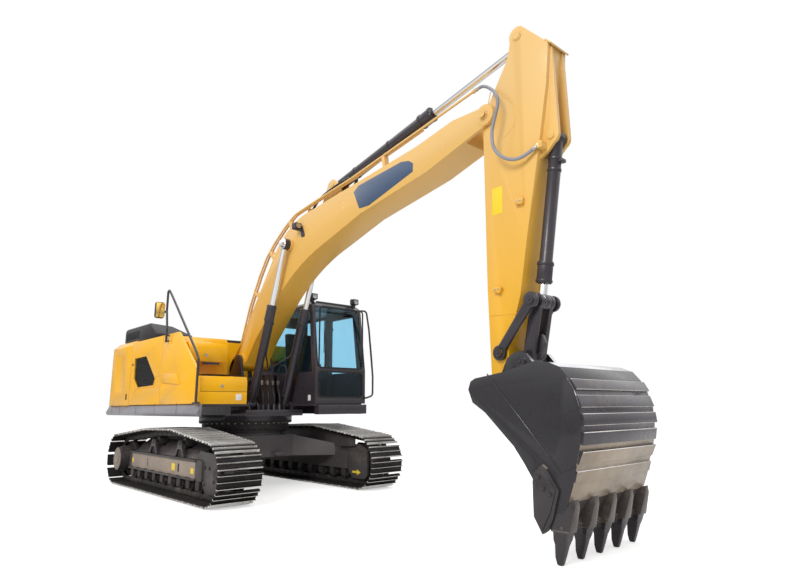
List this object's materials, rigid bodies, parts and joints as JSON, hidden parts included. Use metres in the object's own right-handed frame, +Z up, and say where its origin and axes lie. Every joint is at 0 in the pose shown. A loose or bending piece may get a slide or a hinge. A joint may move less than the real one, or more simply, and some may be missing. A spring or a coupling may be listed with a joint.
{
  "type": "tracked excavator",
  "caption": "Tracked excavator with a slewing upper body, cab, two-piece digging arm on hydraulic cylinders and a toothed bucket.",
  "frame": {"origin": "on the ground under the slewing axis, midway between the tracks", "axes": "+X forward towards the bucket, +Y to the machine's left (cab side), +Z up along the slewing axis"},
  "size_m": [9.495, 3.1117, 5.1196],
  "materials": {
    "frame_grey": "dusty grey",
    "yellow_paint": "gloss, warm yellow",
    "black_paint": "satin black",
    "grey_paint": "satin dark grey",
    "track_steel": "worn rolled steel",
    "cast_steel": "cast, satin",
    "chrome_rod": "polished hard chrome",
    "bucket_steel": "dark paint, worn",
    "cab_glass": "light blue-green tint",
    "seat_fabric": "woven, black",
    "moulded_black": "fine grain",
    "hose_rubber": "smooth black",
    "hose_grey": "woven sleeve, light grey"
  },
  "bodies": {
    "undercarriage": {"centre_frame": "black_paint", "side_frame_left": "frame_grey", "side_frame_right": "frame_grey", "track_left": "track_steel", "track_right": "track_steel", "sprockets": "cast_steel", "idlers": "cast_steel", "bottom_rollers": "cast_steel", "carrier_rollers": "cast_steel", "slew_ring_lower": "cast_steel"},
    "upper": {"slew_ring_upper": "cast_steel", "swing_frame": "black_paint", "skirt_left": "grey_paint", "skirt_right": "grey_paint", "counterweight": "yellow_paint", "engine_block": "grey_paint", "bay_roof": "yellow_paint", "side_panel_right": "yellow_paint", "tanks": "yellow_paint", "tool_box": "yellow_paint", "cab_shell": "black_paint", "seat": "seat_fabric", "roof_cover": "black_paint", "handrail_right": "black_paint", "cab_windows": "cab_glass", "cab_console": "moulded_black", "cab_lamps": "black_paint", "cab_handrail": "black_paint", "foot_hoses": "hose_rubber", "cylinder_hoses": "hose_rubber"},
    "engine_hood": {"engine_hood": "black_paint"},
    "door_right": {"side_door_right": "yellow_paint", "side_grille": "moulded_black"},
    "door_left_rear": {"side_door_left_rear": "yellow_paint"},
    "door_left_front": {"side_door_left_front": "yellow_paint"},
    "tool_lid": {"tool_lid": "yellow_paint"},
    "cab_door": {"cab_door": "black_paint", "cab_door_glass": "cab_glass"},
    "boom": {"boom": "yellow_paint", "boom_pipes": "yellow_paint", "boom_lamp": "black_paint", "tip_hose": "hose_grey", "arm_hoses": "hose_rubber"},
    "boom_barrels": {"boom_barrel_left": "black_paint", "boom_barrel_right": "black_paint", "cylinder_pipes": "black_paint"},
    "boom_rods": {"boom_rod_left": "chrome_rod", "boom_rod_right": "chrome_rod"},
    "arm_barrel": {"arm_barrel": "black_paint"},
    "arm_rod": {"arm_rod": "chrome_rod"},
    "arm": {"arm": "yellow_paint"},
    "bucket_barrel": {"bucket_barrel": "black_paint"},
    "bucket_rod": {"bucket_rod": "chrome_rod"},
    "rocker": {"rocker_pair": "black_paint"},
    "h_link": {"h_link": "black_paint"},
    "bucket": {"bucket": "bucket_steel"}
  },
  "joints": [
    {"name": "swing", "type": "hinge", "parent": "undercarriage", "child": "upper", "pos_m": [0, 0, 0.92], "axis": [0, 0, 1], "continuous": true},
    {"name": "boom_lift", "type": "hinge", "parent": "upper", "child": "boom", "pos_m": [0.15, 0, 1.946], "axis": [0, -1, 0], "range_deg": [-48, 40], "deforming": ["foot_hoses"]},
    {"name": "boom_barrel_swing", "type": "hinge", "parent": "upper", "child": "boom_barrels", "pos_m": [0.69, 0, 1.26], "axis": [0, -1, 0], "range_deg": [-40.5, 33.84], "deforming": ["cylinder_hoses"]},
    {"name": "boom_rod_slide", "type": "slide", "parent": "boom_barrels", "child": "boom_rods", "axis": [0.3394, 0, 0.9407], "range_m": [-0.627, 0.5232]},
    {"name": "arm_swing", "type": "hinge", "parent": "boom", "child": "arm", "pos_m": [5.358, 0, 4.262], "axis": [0, 1, 0], "range_deg": [-88, 35], "deforming": ["tip_hose"]},
    {"name": "arm_barrel_swing", "type": "hinge", "parent": "boom", "child": "arm_barrel", "pos_m": [2.48, 0, 4.35], "axis": [0, 1, 0], "range_deg": [-7.05, 3.11], "deforming": ["arm_hoses"]},
    {"name": "arm_rod_slide", "type": "slide", "parent": "arm_barrel", "child": "arm_rod", "axis": [0.9808, 0, 0.1953], "range_m": [-1.1276, 0.4509]},
    {"name": "bucket_curl", "type": "hinge", "parent": "arm", "child": "bucket", "pos_m": [5.421, 0, 1.34], "axis": [0, 1, 0], "range_deg": [-8, 150]},
    {"name": "rocker_swing", "type": "hinge", "parent": "arm", "child": "rocker", "pos_m": [5.413, 0, 1.717], "axis": [0, 1, 0], "range_deg": [-5.77, 99.28]},
    {"name": "link_swing", "type": "hinge", "parent": "bucket", "child": "h_link", "pos_m": [5.673, 0, 1.611], "axis": [0, 1, 0], "range_deg": [-109.94, 6.34]},
    {"name": "bucket_barrel_swing", "type": "hinge", "parent": "arm", "child": "bucket_barrel", "pos_m": [6.09, 0, 3.79], "axis": [0, 1, 0], "range_deg": [-9, 0.95]},
    {"name": "bucket_rod_slide", "type": "slide", "parent": "bucket_barrel", "child": "bucket_rod", "axis": [-0.1748, 0, -0.9846], "range_m": [-0.0517, 0.8975]},
    {"name": "cab_door_hinge", "type": "hinge", "parent": "upper", "child": "cab_door", "pos_m": [0.394, 1.399, 2.1], "axis": [0, 0, 1], "range_deg": [0, 150]},
    {"name": "door_right_hinge", "type": "hinge", "parent": "upper", "child": "door_right", "pos_m": [-1.58, -1.35, 1.8], "axis": [0, 0, -1], "range_deg": [0, 95]},
    {"name": "door_left_rear_hinge", "type": "hinge", "parent": "upper", "child": "door_left_rear", "pos_m": [-1.58, 1.35, 1.8], "axis": [0, 0, 1], "range_deg": [0, 95]},
    {"name": "door_left_front_hinge", "type": "hinge", "parent": "upper", "child": "door_left_front", "pos_m": [-0.992, 1.35, 1.8], "axis": [0, 0, 1], "range_deg": [0, 95]},
    {"name": "engine_hood_hinge", "type": "hinge", "parent": "upper", "child": "engine_hood", "pos_m": [-0.778, 0, 2.336], "axis": [0, 1, 0], "range_deg": [0, 55]},
    {"name": "tool_lid_hinge", "type": "hinge", "parent": "upper", "child": "tool_lid", "pos_m": [0.574, 0, 1.663], "axis": [0, -1, 0], "range_deg": [0, 75]}
  ],
  "couplings": [
    {"joint": "boom_barrel_swing", "follows": "boom_lift", "ratio": 0.8334},
    {"joint": "boom_rod_slide", "follows": "boom_lift", "m_per_rad": 0.74367},
    {"joint": "arm_barrel_swing", "follows": "arm_swing", "ratio": 0.074454},
    {"joint": "arm_rod_slide", "follows": "arm_swing", "m_per_rad": 0.73154},
    {"joint": "rocker_swing", "follows": "bucket_curl", "ratio": 0.65856},
    {"joint": "link_swing", "follows": "bucket_curl", "ratio": -0.72961},
    {"joint": "bucket_barrel_swing", "follows": "bucket_curl", "ratio": -0.056651},
    {"joint": "bucket_rod_slide", "follows": "bucket_curl", "m_per_rad": 0.34127}
  ]
}
